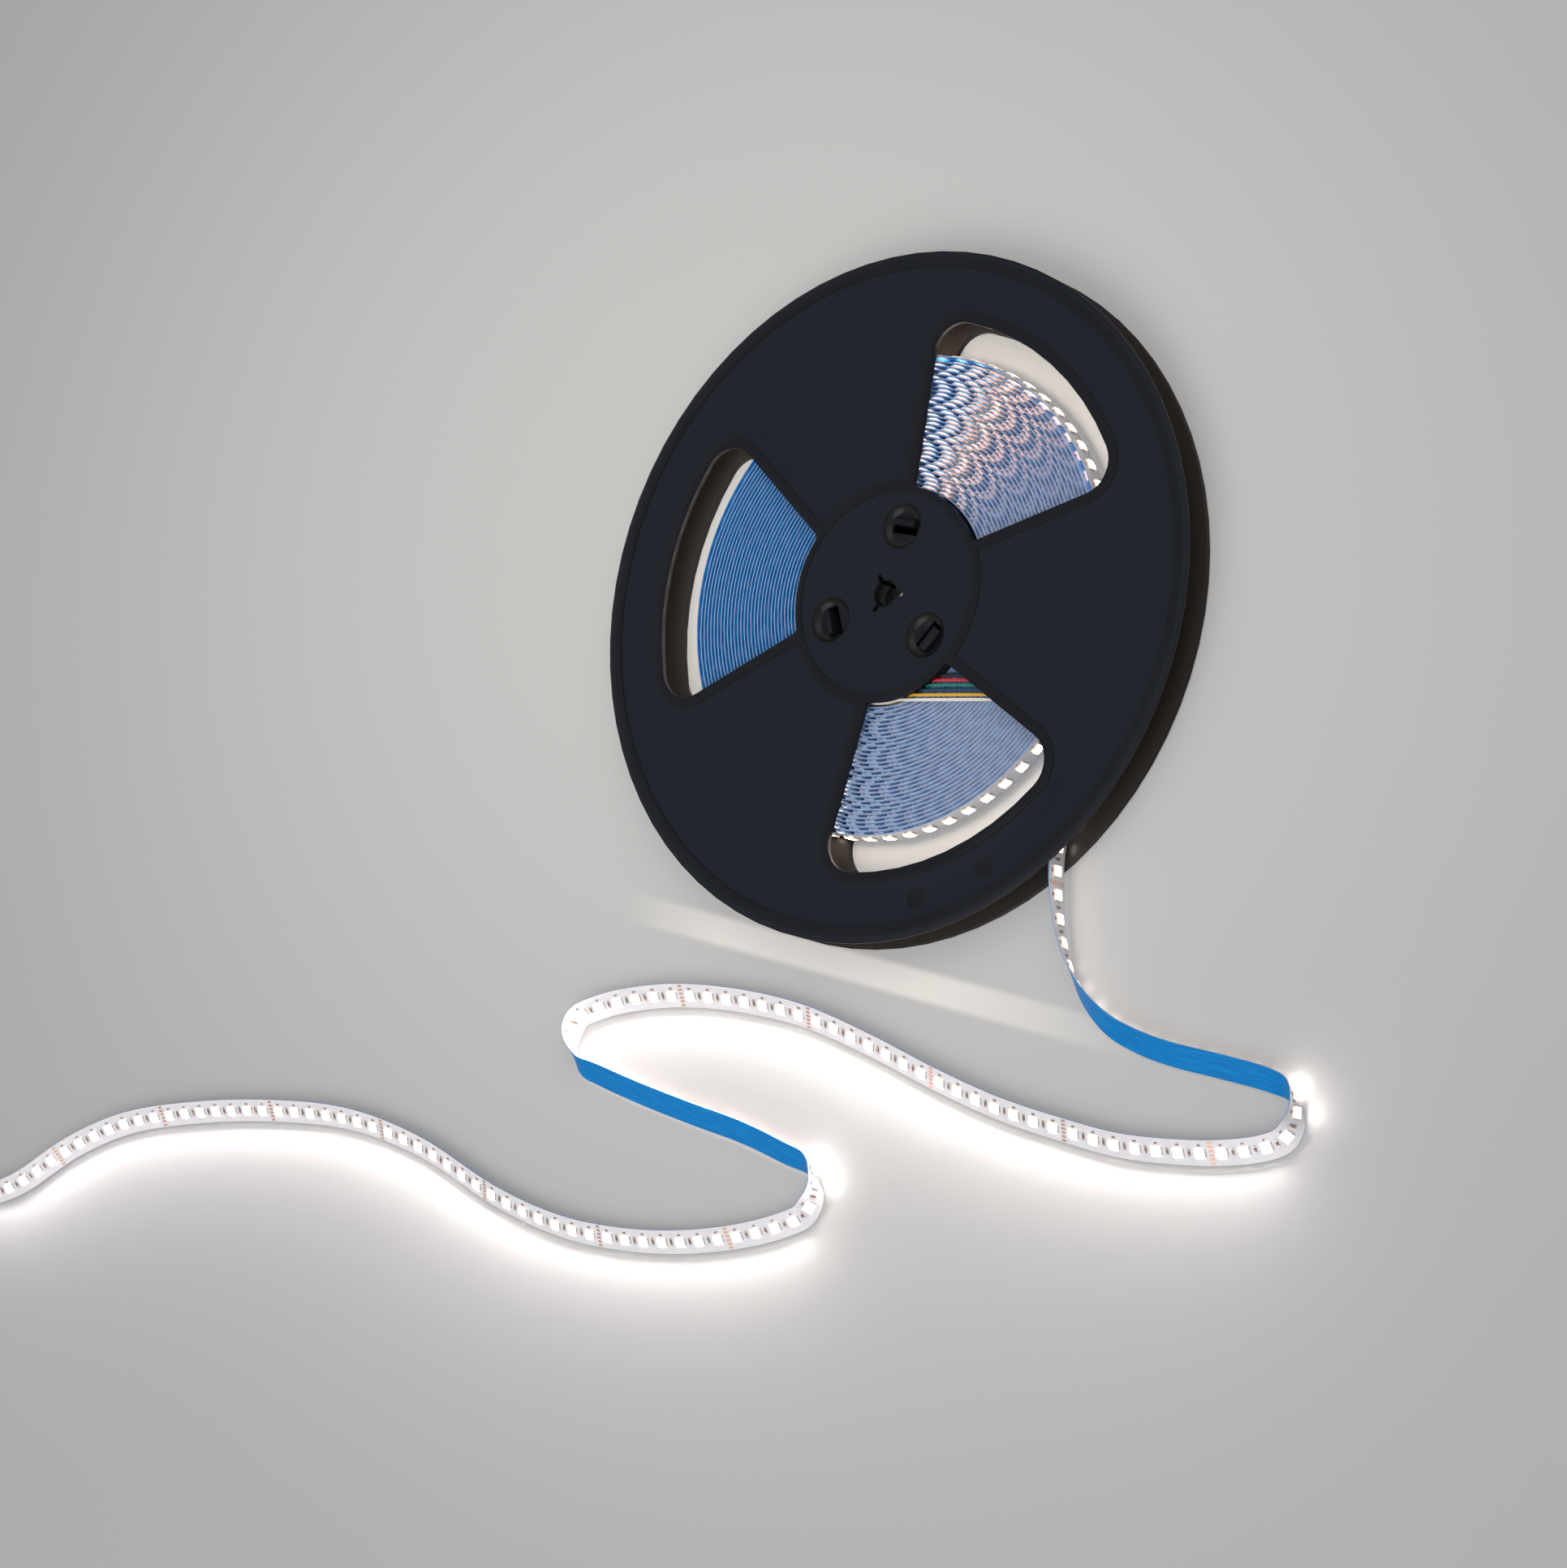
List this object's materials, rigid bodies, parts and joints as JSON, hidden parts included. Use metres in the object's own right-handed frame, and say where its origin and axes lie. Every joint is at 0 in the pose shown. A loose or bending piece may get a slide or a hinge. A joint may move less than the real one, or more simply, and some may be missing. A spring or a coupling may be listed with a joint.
{
  "type": "led strip light reel",
  "caption": "Flat round plastic reel with spoked windows, wound with white LED strip whose blue-backed free end lies in waves beside it; coloured lead wires tucked at the hub.",
  "frame": {"origin": "on the reel's axis, at the underside of the rear flange, which lies on the surface", "axes": "+Z along the reel's axis, up through the front face; -Y towards the free end of the strip"},
  "size_m": [0.6499, 0.7551, 0.0202],
  "materials": {
    "reel_plastic_rear": "fine moulded texture on the panels, smoother borders",
    "reel_plastic_front": "fine moulded texture on the panels, smoother borders",
    "strip_turns": "edges of the wound board, liner and LEDs",
    "strip_board": "white solder mask on the LED side, matt blue liner on the other",
    "wire_white": "smooth wire insulation",
    "wire_yellow": "smooth wire insulation",
    "wire_blue": "smooth wire insulation",
    "wire_green": "smooth wire insulation",
    "wire_red": "smooth wire insulation",
    "wire_black": "smooth wire insulation"
  },
  "bodies": {
    "root": {"rear_flange": "reel_plastic_rear", "front_flange": "reel_plastic_front", "wound_strip": "strip_turns", "free_strip": "strip_board", "lead_white": "wire_white", "lead_yellow": "wire_yellow", "lead_blue": "wire_blue", "lead_green": "wire_green", "lead_red": "wire_red", "lead_black": "wire_black"}
  },
  "joints": []
}
